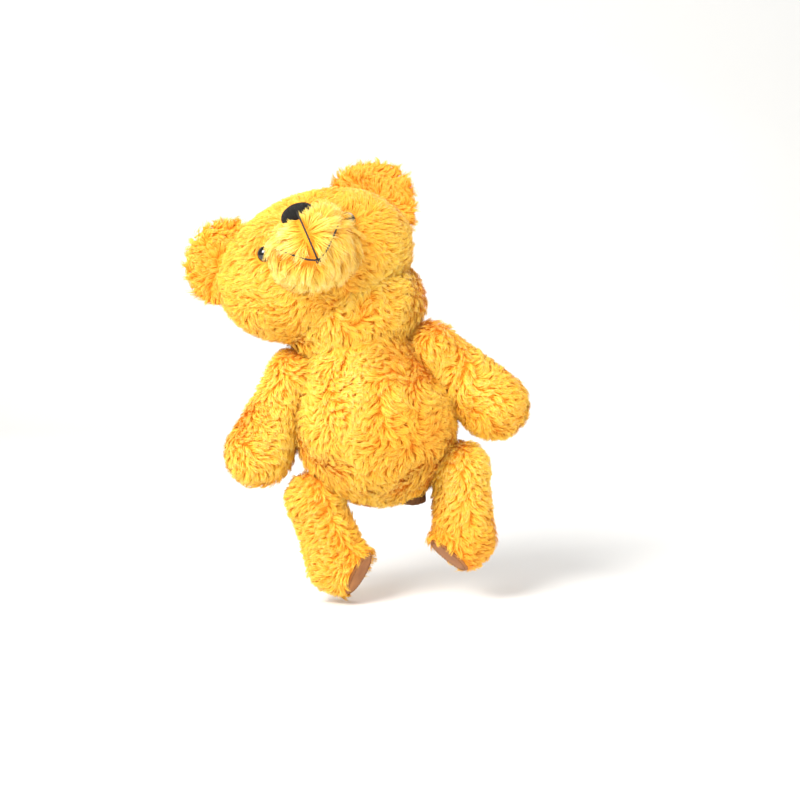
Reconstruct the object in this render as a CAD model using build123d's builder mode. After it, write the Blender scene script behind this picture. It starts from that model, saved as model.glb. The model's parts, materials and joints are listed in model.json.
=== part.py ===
from build123d import *
import os
from math import asin, cos, degrees, radians, sin, sqrt

# Plush bear head cover for a golf driver, in millimetres.
# The origin is the centre of the cuff's throat, where the club's shaft leaves the belly.
# +Z is up along the shaft, the bear faces -Y, and its left side is on +X.

# ---- cloth and filling -------------------------------------------------------------------
skin = 4.0             # plush: knitted backing and the dense foot of its pile
lining_wall = 1.5      # slippery lining of the pocket
padding = 5.0          # quilted padding round the pocket, between the plush and the lining
fill_gap = 0.3         # slack between a filling and the cloth round it
swing_gap = 0.5        # room between a limb's round root and its socket
flat_edge = 1.0        # straight edge where a limb's end is cut flat

# ---- torso: a pear, a large belly ball and a smaller chest ball ------------------------------
lean = 11.5            # the body leans towards its right, as a driver's head lies on its shaft
body_shift = -20.0     # foot of the body's axis, measured across from the shaft
belly_radius = 78.0
chest_radius = 60.0
chest_sink = 34.0      # from the belly's top down to the chest's centre

# ---- cuff round the shaft --------------------------------------------------------------------
throat_radius = 7.0    # relaxed elastic opening
cuff_wall = 8.0        # gathered rib knit
cuff_drop = 4.0        # how far the cuff hangs out of the belly
cuff_rise = 22.0       # how far it reaches up into the pocket
elastic_radius = 1.5   # round elastic in the cuff's hem

# ---- neck and head -------------------------------------------------------------------------------
neck_radius = 30.0
neck_lean = 12.0       # the head sits over the right shoulder
neck_sink = 2.0        # the neck's pivot lies this far inside the chest ball
head_half_width = 96.0
head_radius = 69.0
head_sink = 1.0        # how far the head's wall passes the neck's pivot
head_roll = -26.0
head_pitch = 35.0      # the face looks up
head_yaw = 6.0
head_forward = 3.0

muzzle_half_width = 37.0
muzzle_radius = 34.0
muzzle_forward = 58.0
muzzle_drop = 24.0

nose_half_width = 16.0
nose_radius = 10.5
nose_rise = 44.0       # degrees up the front of the muzzle
nose_proud = 1.0       # height of the nose's centre over the muzzle's cloth

eye_radius = 8.5
eye_across = 43.0      # from the middle of the face
eye_rise = -9.0        # degrees above the head's middle
eye_sink = 3.0         # the eye's centre lies this far under the cloth

post_radius = 2.0      # moulded posts behind the eyes and the nose
post_length = 11.0
washer_radius = 8.0
washer_thickness = 1.6
post_fit = 0.1
stitch_radius = 0.9
mouth_gap = 4.0        # degrees between the nose's lower edge and the thread
mouth_foot = -54.0     # degrees round the muzzle where the thread forks
cheek_across = 25.0    # how far out each branch of the thread ends
cheek_lift = 36.0      # and how many degrees above the fork
cheek_sag = -8.0       # degrees that the middle of a branch lies below the fork

ear_radius = 46.0
ear_hollow = 5.0       # depth of the cupped front
ear_bulge = 18.0       # depth of the rounded back
ear_across = 83.0
ear_up = 50.0
ear_back = 6.0
ear_turn = 18.0        # each ear faces a little outwards
ear_tilt = 20.0        # and down

# ---- limbs ---------------------------------------------------------------------------------------
shoulder_rise = 41.9   # degrees above the belly's middle
shoulder_clear = 0.6   # the arm's round root clears the pocket's lining by this
shoulder_forward = 6.0
arm_root = 25.0
arm_neck = 22.0        # the arm just outside its seam
arm_end = 31.0
arm_length = 84.0      # pivot to the centre of the paw
arm_splay = 36.0       # the arm's hang, out from the body's axis
arm_press = 3.0        # the arm presses this many degrees into the side at most

hip_drop = 39.5        # degrees below the belly's middle
hip_forward = 9.0      # degrees round to the front
hip_stand = 18.5
leg_root = 27.0
leg_neck = 23.5
leg_end = 28.0
leg_length = 67.0
leg_toe_in = 8.0
foot_radius = 29.0
sole_reach = 26.0      # centre of the foot to its sole
sole_radius = 24.0
sole_turn = 52.0       # the soles face each other and down
sole_forward = 18.0    # and a little to the front
pad_thickness = 2.0

os.makedirs("parts", exist_ok=True)


def vec(x, y, z):
    return Vector(x, y, z)


def side_plane(plane):
    """The plane that holds a spun shape's profile: across, then along the axis."""
    return Plane(plane.origin, x_dir=plane.x_dir, z_dir=-plane.y_dir)


def axis_plane(origin, direction):
    """A plane at origin whose normal is the direction, for shapes spun about it."""
    return Plane(origin, x_dir=direction.cross(vec(0, 1, 0)), z_dir=direction)


def pod(plane, stations, ball=0.0, flat=None, inset=0.0):
    """A stuffed shape spun about the plane's normal: circles along it, hulled together.

    ball is the radius of a round root at the plane's origin. flat is (height, radius) of a cut end.
    """
    with BuildPart() as body:
        with BuildSketch(side_plane(plane)):
            for height, radius in stations:
                with Locations((0, height)):
                    Circle(radius - inset)
            if flat:
                with Locations((0, flat[0] - inset - flat_edge / 2)):
                    Rectangle(2 * (flat[1] - inset), flat_edge)
            if flat or len(stations) > 1:
                make_hull()
            if ball:
                Circle(ball - inset)
            split(bisect_by=Plane.YZ, keep=Keep.TOP)
        revolve(axis=Axis(plane.origin, plane.z_dir))
    return body.part


def spheroid(plane, half_width, radius, inset=0.0):
    """An egg on its side, its long way along the plane's x axis."""
    with BuildPart() as body:
        Sphere(radius - inset)
        scale(by=((half_width - inset) / (radius - inset), 1, 1))
    return plane.location * body.part


def ball(centre, radius):
    with BuildPart() as body:
        with Locations(centre):
            Sphere(radius)
    return body.part


def rod(plane, radius, start, end):
    """A round rod along the plane's normal, from start to end."""
    with BuildPart() as body:
        with BuildSketch(plane.offset(start)):
            Circle(radius)
        extrude(amount=end - start)
    return body.part


def shell_half(outer, inner, seam, keep, cuts=()):
    """One sewn panel: the cloth between two shapes, on one side of its seam."""
    with BuildPart() as panel:
        add(outer)
        add(inner, mode=Mode.SUBTRACT)
        for cut in cuts:
            add(cut, mode=Mode.SUBTRACT)
        split(bisect_by=seam, keep=keep)
    return panel.part


def filling(shape, cuts=()):
    with BuildPart() as wad:
        add(shape)
        for cut in cuts:
            add(cut, mode=Mode.SUBTRACT)
    return wad.part


def save(part, name):
    part.label = name
    export_step(part, f"parts/{name}.step")


# ---- places ------------------------------------------------------------------------------------------
body_plane = Plane(Location((body_shift, 0, 0), (0, -lean, 0)))
belly_centre = body_plane.from_local_coords(vec(0, 0, belly_radius))
chest_height = 2 * belly_radius - chest_sink
chest_centre = body_plane.from_local_coords(vec(0, 0, chest_height))
pad_radius = belly_radius - skin - fill_gap
lining_radius = pad_radius - padding - fill_gap

up_neck = vec(-sin(radians(neck_lean)), 0, cos(radians(neck_lean)))
up_neck = body_plane.from_local_coords(up_neck) - body_plane.origin
neck_pivot = chest_centre + up_neck * (chest_radius - neck_sink)
head_centre = neck_pivot + up_neck * (head_radius - head_sink) + vec(0, -head_forward, 0)
head_turns = Rot(Y=head_roll) * Rot(X=-head_pitch) * Rot(Z=head_yaw)
head_plane = Plane(Pos(head_centre) * head_turns)
muzzle_centre = head_plane.from_local_coords(vec(0, -muzzle_forward, -muzzle_drop))
muzzle_plane = Plane(muzzle_centre, x_dir=head_plane.x_dir, z_dir=head_plane.z_dir)


def on_head(x, rise):
    """A plane on the head's cloth, facing out: x across the face, rise degrees above its middle."""
    ring = head_radius * sqrt(1 - (x / head_half_width) ** 2)
    y, z = -ring * cos(radians(rise)), ring * sin(radians(rise))
    out = vec(x / head_half_width ** 2, y / head_radius ** 2, z / head_radius ** 2)
    return local_plane(head_plane, vec(x, y, z), out)


def on_muzzle(x, rise, lift=0.0):
    """A plane on the muzzle's cloth, or lift above it, in the same two measures."""
    ring = muzzle_radius * sqrt(1 - (x / muzzle_half_width) ** 2)
    y, z = -ring * cos(radians(rise)), ring * sin(radians(rise))
    out = vec(x / muzzle_half_width ** 2, y / muzzle_radius ** 2, z / muzzle_radius ** 2)
    out = out.normalized()
    return local_plane(muzzle_plane, vec(x, y, z) + out * lift, out)


def local_plane(plane, point, out):
    """A plane at a local point, its normal along a local direction, its x axis level with the parent's."""
    origin = plane.from_local_coords(point)
    normal = plane.from_local_coords(out.normalized()) - plane.origin
    across = plane.x_dir - normal * plane.x_dir.dot(normal)
    return Plane(origin, x_dir=across, z_dir=normal)


def shoulder(side):
    """Pivot of an arm, in the body's plane: side is -1 on the right and +1 on the left."""
    reach = lining_radius + arm_root + shoulder_clear
    rise = radians(shoulder_rise)
    local = vec(side * reach * cos(rise), -shoulder_forward, belly_radius + reach * sin(rise))
    return body_plane.from_local_coords(local)


def hip(side):
    """Pivot of a leg, in the body's plane."""
    reach = belly_radius + hip_stand
    drop, forward = radians(hip_drop), radians(hip_forward)
    local = vec(side * reach * cos(drop) * cos(forward), -reach * cos(drop) * sin(forward),
                belly_radius - reach * sin(drop))
    return body_plane.from_local_coords(local)


def body_direction(x, y, z):
    return (body_plane.from_local_coords(vec(x, y, z)) - body_plane.origin).normalized()


def socket(pivot, centre, radius):
    """The round room for a limb's root, spun about the line to the middle of what it sits in."""
    return pod(axis_plane(pivot, (centre - pivot).normalized()), [(0, radius + swing_gap)])


def arm_down(side, press=0.0):
    """The way an arm hangs from its shoulder."""
    splay = radians(arm_splay - press)
    return body_direction(side * sin(splay), 0, -cos(splay))


def arm_room(side, press):
    """The dent that the resting arm presses into the torso's side."""
    plane = axis_plane(shoulder(side), arm_down(side, press))
    return pod(plane, [(0, arm_neck), (arm_length, arm_end)], inset=-swing_gap)


# ---- joints' sockets and the shaft's way through the torso ---------------------------------------------
neck_socket = socket(neck_pivot, chest_centre, neck_radius)
shoulder_sockets = [socket(shoulder(side), chest_centre, arm_root) for side in (-1, 1)]
hip_sockets = [socket(hip(side), belly_centre, leg_root) for side in (-1, 1)]
arm_rooms = [arm_room(side, press) for side in (-1, 1) for press in (0, arm_press)]
cuff_way = rod(Plane.XY, throat_radius + cuff_wall + fill_gap, -2 * cuff_drop, 2 * cuff_rise)
torso_cuts = [neck_socket, *shoulder_sockets, *hip_sockets, *arm_rooms, cuff_way]

# ---- torso --------------------------------------------------------------------------------------------
torso_stations = [(belly_radius, belly_radius), (chest_height, chest_radius)]
torso_outer = pod(body_plane, torso_stations)
torso_inner = pod(body_plane, torso_stations, inset=skin)
torso_fill = pod(body_plane, torso_stations, inset=skin + fill_gap)
side_seam = Plane(body_plane.origin, x_dir=body_plane.x_dir, z_dir=-body_plane.y_dir)

pad_outer = pod(body_plane, [(belly_radius, pad_radius)])
pad_inner = pod(body_plane, [(belly_radius, pad_radius - padding)])
pad_room = pod(body_plane, [(belly_radius, pad_radius + fill_gap)])
pocket_outer = pod(body_plane, [(belly_radius, lining_radius)])
pocket_inner = pod(body_plane, [(belly_radius, lining_radius - lining_wall)])

save(shell_half(torso_outer, torso_inner, side_seam, Keep.TOP, torso_cuts), "torso_front_panel")
save(shell_half(torso_outer, torso_inner, side_seam, Keep.BOTTOM, torso_cuts), "torso_back_panel")
save(shell_half(pad_outer, pad_inner, side_seam, Keep.TOP, torso_cuts), "pocket_pad_front")
save(shell_half(pad_outer, pad_inner, side_seam, Keep.BOTTOM, torso_cuts), "pocket_pad_back")
save(filling(torso_fill, [pad_room, *torso_cuts]), "chest_stuffing")

with BuildPart() as pocket_lining:
    add(pocket_outer)
    add(pocket_inner, mode=Mode.SUBTRACT)
    add(cuff_way, mode=Mode.SUBTRACT)
save(pocket_lining.part, "pocket_lining")

# The cuff is a gathered rib-knit tube, with a round elastic in its hem.
elastic_ring = throat_radius + cuff_wall / 2
elastic_height = -cuff_drop + 2 * elastic_radius
with BuildPart() as shaft_cuff:
    with BuildSketch(Plane.XY.offset(-cuff_drop)):
        Circle(throat_radius + cuff_wall)
        Circle(throat_radius, mode=Mode.SUBTRACT)
    extrude(amount=cuff_drop + cuff_rise)
    with Locations((0, 0, elastic_height)):
        Torus(elastic_ring, elastic_radius + fill_gap, mode=Mode.SUBTRACT)
save(shaft_cuff.part, "shaft_cuff")

with BuildPart() as cuff_elastic:
    with Locations((0, 0, elastic_height)):
        Torus(elastic_ring, elastic_radius)
save(cuff_elastic.part, "cuff_elastic")

# ---- neck: the plug of filling that the head turns on ---------------------------------------------------
with BuildPart() as neck_stuffing:
    with Locations(neck_pivot):
        Sphere(neck_radius)
save(neck_stuffing.part, "neck_stuffing")

# ---- eyes: moulded domes on posts, each held by a washer behind the cloth --------------------------------
washer_seat = -skin - fill_gap
post_ways = []
for side, name in ((-1, "right"), (1, "left")):
    eye_plane = on_head(side * eye_across, eye_rise)
    eye_head = ball(eye_plane.origin - eye_plane.z_dir * eye_sink, eye_radius)
    with BuildPart() as eye:
        add(eye_head)
        split(bisect_by=eye_plane.offset(-eye_sink), keep=Keep.TOP)
        with BuildSketch(eye_plane.offset(-post_length)):
            Circle(post_radius)
        extrude(amount=post_length)
    save(eye.part, f"eye_{name}")

    with BuildPart() as eye_washer:
        with BuildSketch(eye_plane.offset(washer_seat)):
            Circle(washer_radius)
            Circle(post_radius + post_fit, mode=Mode.SUBTRACT)
        extrude(amount=-washer_thickness)
    save(eye_washer.part, f"eye_washer_{name}")

    eye_bed = rod(eye_plane, eye_radius + fill_gap, -eye_sink - fill_gap, eye_radius)
    post_way = rod(eye_plane, post_radius + post_fit, -post_length - fill_gap, 0)
    washer_way = rod(eye_plane, washer_radius + fill_gap, washer_seat - washer_thickness - fill_gap,
                     washer_seat + skin / 4)
    post_ways += [eye_bed, post_way, washer_way]

# ---- head ---------------------------------------------------------------------------------------------
head_outer = spheroid(head_plane, head_half_width, head_radius)
head_inner = spheroid(head_plane, head_half_width, head_radius, inset=skin)
head_fill = spheroid(head_plane, head_half_width, head_radius, inset=skin + fill_gap)
head_clear = spheroid(head_plane, head_half_width, head_radius, inset=-fill_gap)
crown_seam = Plane(head_plane.origin, x_dir=head_plane.x_dir, z_dir=-head_plane.y_dir)
head_cuts = [neck_socket, *post_ways]
save(shell_half(head_outer, head_inner, crown_seam, Keep.TOP, head_cuts), "head_face_panel")
save(shell_half(head_outer, head_inner, crown_seam, Keep.BOTTOM, [neck_socket]), "head_back_panel")
save(filling(head_fill, head_cuts), "head_stuffing")

# ---- muzzle and nose ------------------------------------------------------------------------------------
muzzle_outer = spheroid(muzzle_plane, muzzle_half_width, muzzle_radius)
muzzle_inner = spheroid(muzzle_plane, muzzle_half_width, muzzle_radius, inset=skin)
muzzle_fill = spheroid(muzzle_plane, muzzle_half_width, muzzle_radius, inset=skin + fill_gap)

nose_plane = on_muzzle(0, nose_rise)
nose_post_way = rod(nose_plane, post_radius + post_fit, -post_length - fill_gap, skin)
nose_washer_way = rod(nose_plane, washer_radius + fill_gap,
                      washer_seat - washer_thickness - fill_gap, washer_seat + skin / 4)

with BuildPart() as muzzle_panel:
    add(muzzle_outer)
    add(muzzle_inner, mode=Mode.SUBTRACT)
    add(head_clear, mode=Mode.SUBTRACT)
    add(nose_post_way, mode=Mode.SUBTRACT)
    add(nose_washer_way, mode=Mode.SUBTRACT)
save(muzzle_panel.part, "muzzle_panel")
save(filling(muzzle_fill, [head_clear, nose_post_way, nose_washer_way]), "muzzle_stuffing")

nose_lift = nose_plane.offset(nose_proud)
nose_body = spheroid(nose_lift, nose_half_width, nose_radius)
with BuildPart() as nose:
    add(nose_body)
    add(muzzle_outer, mode=Mode.SUBTRACT)
    add(rod(nose_plane, post_radius, -post_length, nose_radius / 2))
save(nose.part, "nose")

with BuildPart() as nose_washer:
    with BuildSketch(nose_plane.offset(washer_seat)):
        Circle(washer_radius)
        Circle(post_radius + post_fit, mode=Mode.SUBTRACT)
    extrude(amount=-washer_thickness)
save(nose_washer.part, "nose_washer")

# The mouth is one thick thread: a line down from the nose and a curve up each cheek.
line_top = nose_rise - degrees(asin(nose_radius / muzzle_radius)) - mouth_gap
thread_lift = stitch_radius + fill_gap
with BuildPart() as mouth_stitch:
    with BuildLine() as lip_line:
        ThreePointArc(on_muzzle(0, line_top, thread_lift).origin,
                      on_muzzle(0, (line_top + mouth_foot) / 2, thread_lift).origin,
                      on_muzzle(0, mouth_foot, thread_lift).origin)
    with BuildSketch(Plane(lip_line.line @ 0, z_dir=lip_line.line % 0)):
        Circle(stitch_radius)
    sweep(path=lip_line.line)
    for side in (-1, 1):
        with BuildLine() as cheek_line:
            ThreePointArc(on_muzzle(0, mouth_foot, thread_lift).origin,
                          on_muzzle(side * cheek_across / 2, mouth_foot - cheek_sag, thread_lift).origin,
                          on_muzzle(side * cheek_across, mouth_foot + cheek_lift, thread_lift).origin)
        with BuildSketch(Plane(cheek_line.line @ 0, z_dir=cheek_line.line % 0)):
            Circle(stitch_radius)
        sweep(path=cheek_line.line)
    add(muzzle_outer, mode=Mode.SUBTRACT)
save(mouth_stitch.part, "mouth_stitch")


# ---- ears: a cupped front panel and a rounded back panel, sewn round the rim -----------------------------
def dish(depth):
    """Half of a shallow bowl's profile, from its rim in to its middle."""
    curve = (ear_radius ** 2 + depth ** 2) / (2 * depth)
    half = asin(ear_radius / curve) / 2
    middle = (curve * sin(half), curve * (1 - cos(half)) - depth)
    return ThreePointArc((ear_radius, 0), middle, (0, -depth))


ear_middle = (ear_hollow + ear_bulge) / 2
for side, name in ((-1, "right"), (1, "left")):
    turn, tilt = radians(ear_turn), radians(ear_tilt)
    ear_front = vec(side * sin(turn) * cos(tilt), -cos(turn) * cos(tilt), -sin(tilt))
    ear_plane = local_plane(head_plane, vec(side * ear_across, ear_back, ear_up), ear_front)
    for panel, near, far in (("front", ear_hollow, ear_middle), ("back", ear_middle, ear_bulge)):
        with BuildPart() as ear_panel:
            with BuildSketch(side_plane(ear_plane)):
                with BuildLine():
                    dish(near)
                    dish(far)
                    Line((0, -near), (0, -far))
                make_face()
            revolve(axis=Axis(ear_plane.origin, ear_plane.z_dir))
            add(head_clear, mode=Mode.SUBTRACT)
        save(ear_panel.part, f"ear_{name}_{panel}")

# ---- arms -----------------------------------------------------------------------------------------------
arm_stations = [(0, arm_neck), (arm_length, arm_end)]
for side, name in ((-1, "right"), (1, "left")):
    down_arm = arm_down(side)
    arm_plane = axis_plane(shoulder(side), down_arm)
    arm_seam = Plane(arm_plane.origin, x_dir=down_arm, z_dir=vec(0, -1, 0))
    arm_outer = pod(arm_plane, arm_stations, ball=arm_root)
    arm_inner = pod(arm_plane, arm_stations, ball=arm_root, inset=skin)
    arm_fill = pod(arm_plane, arm_stations, ball=arm_root, inset=skin + fill_gap)
    save(shell_half(arm_outer, arm_inner, arm_seam, Keep.TOP), f"arm_{name}_front_panel")
    save(shell_half(arm_outer, arm_inner, arm_seam, Keep.BOTTOM), f"arm_{name}_back_panel")
    save(filling(arm_fill), f"arm_{name}_stuffing")

# ---- legs: a thigh, a foot and a flat suede sole ---------------------------------------------------------
leg_stations = [(0, leg_neck), (leg_length, leg_end)]
foot_stations = [(0, foot_radius)]
for side, name in ((-1, "right"), (1, "left")):
    toe_in = radians(leg_toe_in)
    down_leg = body_direction(-side * sin(toe_in), 0, -cos(toe_in))
    leg_plane = axis_plane(hip(side), down_leg)
    leg_seam = Plane(leg_plane.origin, x_dir=down_leg, z_dir=vec(0, -1, 0))
    turn, forward = radians(sole_turn), radians(sole_forward)
    to_sole = body_direction(-side * sin(turn) * cos(forward), -sin(forward), -cos(turn) * cos(forward))
    foot_centre = hip(side) + down_leg * leg_length
    foot_plane = axis_plane(foot_centre, to_sole)
    sole_flat = (sole_reach, sole_radius)

    thighs = [pod(leg_plane, leg_stations, ball=leg_root, inset=step) for step in (0, skin, skin + fill_gap)]
    feet = [pod(foot_plane, foot_stations, flat=sole_flat, inset=step) for step in (0, skin, skin + fill_gap)]
    sole_way = rod(foot_plane, sole_radius, sole_reach - pad_thickness, sole_reach + foot_radius)
    wholes = []
    for thigh, foot in zip(thighs, feet):
        with BuildPart() as whole:
            add(thigh)
            add(foot)
            add(sole_way, mode=Mode.SUBTRACT)
        wholes.append(whole.part)
    save(shell_half(wholes[0], wholes[1], leg_seam, Keep.TOP), f"leg_{name}_front_panel")
    save(shell_half(wholes[0], wholes[1], leg_seam, Keep.BOTTOM), f"leg_{name}_back_panel")
    save(filling(wholes[2]), f"leg_{name}_stuffing")

    with BuildPart() as foot_pad:
        with BuildSketch(foot_plane.offset(sole_reach - pad_thickness)):
            Circle(sole_radius)
        extrude(amount=pad_thickness)
    save(foot_pad.part, f"foot_pad_{name}")

# ---- what the record needs -------------------------------------------------------------------------------
print("belly centre", belly_centre)
print("pocket radius", lining_radius - lining_wall)
print("neck pivot", neck_pivot, "head centre", head_centre)
for side, name in ((-1, "right"), (1, "left")):
    print(name, "shoulder", shoulder(side), "hip", hip(side))
print("across the body", body_plane.x_dir)
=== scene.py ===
import json
import math

import bmesh
import bpy
import numpy as np
from mathutils import Matrix, Vector
from mathutils.bvhtree import BVHTree
from mathutils.kdtree import KDTree


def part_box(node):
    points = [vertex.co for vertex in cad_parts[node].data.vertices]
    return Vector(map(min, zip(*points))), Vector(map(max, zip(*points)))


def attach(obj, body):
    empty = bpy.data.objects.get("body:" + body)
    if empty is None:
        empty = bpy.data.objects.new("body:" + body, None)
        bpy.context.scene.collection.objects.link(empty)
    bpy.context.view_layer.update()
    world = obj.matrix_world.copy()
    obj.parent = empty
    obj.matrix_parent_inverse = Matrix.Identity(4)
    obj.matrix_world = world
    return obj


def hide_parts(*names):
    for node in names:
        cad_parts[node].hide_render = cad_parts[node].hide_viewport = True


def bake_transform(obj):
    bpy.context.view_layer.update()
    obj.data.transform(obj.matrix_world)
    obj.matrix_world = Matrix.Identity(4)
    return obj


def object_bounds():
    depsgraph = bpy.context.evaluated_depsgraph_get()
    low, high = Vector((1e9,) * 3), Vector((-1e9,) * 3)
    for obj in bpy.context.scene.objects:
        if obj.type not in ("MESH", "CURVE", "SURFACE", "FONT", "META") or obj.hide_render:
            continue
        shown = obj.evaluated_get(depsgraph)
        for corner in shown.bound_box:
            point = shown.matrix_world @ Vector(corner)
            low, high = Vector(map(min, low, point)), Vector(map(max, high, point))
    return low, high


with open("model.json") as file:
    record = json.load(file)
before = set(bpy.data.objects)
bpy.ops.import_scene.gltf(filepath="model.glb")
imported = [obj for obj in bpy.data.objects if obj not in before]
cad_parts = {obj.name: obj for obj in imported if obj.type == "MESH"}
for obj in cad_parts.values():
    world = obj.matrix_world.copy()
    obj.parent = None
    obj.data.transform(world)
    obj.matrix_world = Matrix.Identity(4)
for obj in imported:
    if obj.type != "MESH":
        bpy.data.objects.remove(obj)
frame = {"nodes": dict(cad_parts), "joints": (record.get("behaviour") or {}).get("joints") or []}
cad_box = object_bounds()
nodes = frame["nodes"]
mm = 0.001
joint_at = {joint["name"]: Vector(joint["pos_m"]) for joint in frame["joints"]}
across_body = -Vector([j["axis"] for j in frame["joints"] if j["name"] == "hip_left"][0]).normalized()
up_body = Vector((0, -1, 0)).cross(across_body)

# ---- torso skin ----------------------------------------------------------------------------------
# A pear-shaped sack of two plush panels, sewn up the sides and turned, then stuffed round the
# pocket. Its cloth is an orange-gold knit that shows only between the roots of the pile, coloured
# a deeper orange there as painted shade.
# The neck of the sack runs up under the head.
torso_voxel = 4.5 * mm
torso_swell = 2.5 * mm
collar_size = Vector((71, 55, 52)) * mm
collar_shift = Vector((12, 0, 16)) * mm
throat_hole = 11 * mm      # the radius of the hole that the cuff is sewn into
throat_height = 25 * mm    # and it lies below this height
cloth_wall = 1.6 * mm


def points_of(*names):
    """The vertices of some frame nodes, as rows."""
    return np.array([v.co[:] for name in names for v in nodes[name].data.vertices])


def middle_of(*names):
    points = points_of(*names)
    return Vector((points.min(0) + points.max(0)) / 2)


def new_mesh(name, points, faces):
    mesh = bpy.data.meshes.new(name)
    mesh.from_pydata([tuple(p) for p in points], [], faces)
    mesh.update()
    piece = bpy.data.objects.new(name, mesh)
    bpy.context.scene.collection.objects.link(piece)
    return piece


def hull(name, points):
    """The tight convex skin round some points."""
    shape = bmesh.new()
    for point in points:
        shape.verts.new(point)
    bmesh.ops.convex_hull(shape, input=shape.verts)
    bmesh.ops.delete(shape, geom=[v for v in shape.verts if not v.link_faces], context="VERTS")
    mesh = bpy.data.meshes.new(name)
    shape.to_mesh(mesh)
    shape.free()
    piece = bpy.data.objects.new(name, mesh)
    bpy.context.scene.collection.objects.link(piece)
    return piece


def copy_of(name, *names):
    """One new mesh with the shapes of some frame nodes."""
    shape = bmesh.new()
    for source in names:
        shape.from_mesh(nodes[source].data)
    mesh = bpy.data.meshes.new(name)
    shape.to_mesh(mesh)
    shape.free()
    piece = bpy.data.objects.new(name, mesh)
    bpy.context.scene.collection.objects.link(piece)
    return piece


def egg(name, centre, size, turn=Matrix.Identity(3)):
    """A round form with three half sizes."""
    bpy.ops.mesh.primitive_uv_sphere_add(segments=48, ring_count=32, radius=1)
    piece = bpy.context.object
    piece.name = name
    piece.data.transform(Matrix.Translation(centre) @ turn.to_4x4() @ Matrix.Diagonal((*size, 1)))
    return piece


def joined(name, *pieces):
    bpy.ops.object.select_all(action="DESELECT")
    for piece in pieces:
        piece.select_set(True)
    bpy.context.view_layer.objects.active = pieces[0]
    if len(pieces) > 1:
        bpy.ops.object.join()
    pieces[0].name = name
    return pieces[0]


def apply_all(piece):
    """Replaces the piece's mesh by what its modifiers make of it."""
    graph = bpy.context.evaluated_depsgraph_get()
    mesh = bpy.data.meshes.new_from_object(piece.evaluated_get(graph), depsgraph=graph)
    piece.modifiers.clear()
    old, piece.data = piece.data, mesh
    bpy.data.meshes.remove(old)
    return piece


def one_skin(piece, voxel, rounds=6):
    """Turns overlapping forms into one even skin with softened creases."""
    remesh = piece.modifiers.new("skin", "REMESH")
    remesh.mode = "VOXEL"
    remesh.voxel_size = voxel
    smooth = piece.modifiers.new("soft", "SMOOTH")
    smooth.factor, smooth.iterations = 0.5, rounds
    return apply_all(piece)


def stuff(piece, swell, pressure=4.0, frames=12):
    """Blows the sewn skin up with its filling, no further than swell from where it was cut."""
    cut = np.array([v.co[:] for v in piece.data.vertices])
    cloth = piece.modifiers.new("cloth", "CLOTH")
    cloth.settings.quality = 4
    cloth.settings.mass = 0.3
    cloth.settings.tension_stiffness = cloth.settings.compression_stiffness = 12
    cloth.settings.bending_stiffness = 2.0
    cloth.settings.use_pressure = True
    cloth.settings.uniform_pressure_force = pressure
    cloth.settings.effector_weights.gravity = 0
    cloth.point_cache.frame_start, cloth.point_cache.frame_end = 1, frames
    for step in range(1, frames + 1):
        bpy.context.scene.frame_set(step)
    apply_all(piece)
    bpy.context.scene.frame_set(1)
    blown = np.array([v.co[:] for v in piece.data.vertices])
    move = blown - cut
    reach = np.linalg.norm(move, axis=1, keepdims=True)
    move *= np.minimum(1, swell / np.maximum(reach, 1e-9))
    piece.data.vertices.foreach_set("co", (cut + move).ravel())
    piece.data.update()
    return piece


def smooth_shaded(piece):
    piece.data.polygons.foreach_set("use_smooth", [True] * len(piece.data.polygons))
    return piece


def in_cloth(piece, finish):
    """Covers the whole of a piece in one finish."""
    piece.data.materials.clear()
    piece.data.materials.append(finish)


class Wire:
    """A node's socket that can be used in an expression."""

    def __init__(self, tree, socket):
        self.tree, self.socket = tree, socket

    def maths(self, operation, other, flip=False):
        pair = (other, self) if flip else (self, other)
        return node(self.tree, "ShaderNodeMath", {"operation": operation}, {0: pair[0], 1: pair[1]})

    def __add__(self, other): return self.maths("ADD", other)
    def __radd__(self, other): return self.maths("ADD", other, True)
    def __sub__(self, other): return self.maths("SUBTRACT", other)
    def __rsub__(self, other): return self.maths("SUBTRACT", other, True)
    def __mul__(self, other): return self.maths("MULTIPLY", other)
    def __rmul__(self, other): return self.maths("MULTIPLY", other, True)


def node(tree, kind, settings, sockets, out=0):
    """Adds one node, its settings first and then its sockets' values or links."""
    made = tree.nodes.new(kind)
    for key, value in settings.items():
        if key == "stops":
            ramp = made.color_ramp
            while len(ramp.elements) < len(value):
                ramp.elements.new(0.5)
            for element, (place, colour) in zip(ramp.elements, value):
                element.position, element.color = place, (*colour, 1)
        else:
            setattr(made, key, value)
    for key, value in sockets.items():
        if isinstance(value, Wire):
            tree.links.new(value.socket, made.inputs[key])
        else:
            made.inputs[key].default_value = value
    return Wire(tree, made.outputs[out])


def finish_of(name, make=None, **constants):
    """A material: constants go on the shader's own sockets, and make(tree) gives what varies."""
    material = bpy.data.materials.new(name)
    material.use_nodes = True
    tree = material.node_tree
    shader = tree.nodes["Principled BSDF"]
    for key, value in constants.items():
        shader.inputs[key.replace("_", " ")].default_value = value
    for key, wire in (make(tree) if make else {}).items():
        tree.links.new(wire.socket, shader.inputs[key])
    return material


def knit_backing_painted_shade(tree):
    place = node(tree, "ShaderNodeTexCoord", {}, {}, "Object")
    stitches = node(tree, "ShaderNodeTexVoronoi", {}, {"Vector": place, "Scale": 900.0}, "Distance")
    # the backing's deeper orange is painted shade between the pile's roots; the stitch pattern is the
    # knit's own
    stops = [(0.0, (1.0, 0.42, 0.015)), (0.8, (0.80, 0.26, 0.006))]
    colour = node(tree, "ShaderNodeValToRGB", {"stops": stops}, {"Fac": stitches})
    dips = node(tree, "ShaderNodeBump", {}, {"Height": 1 - stitches, "Strength": 0.5, "Distance": 0.4 * mm})
    return {"Base Color": colour, "Normal": dips}


backing = finish_of("plush_backing", knit_backing_painted_shade, Roughness=0.9)


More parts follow.
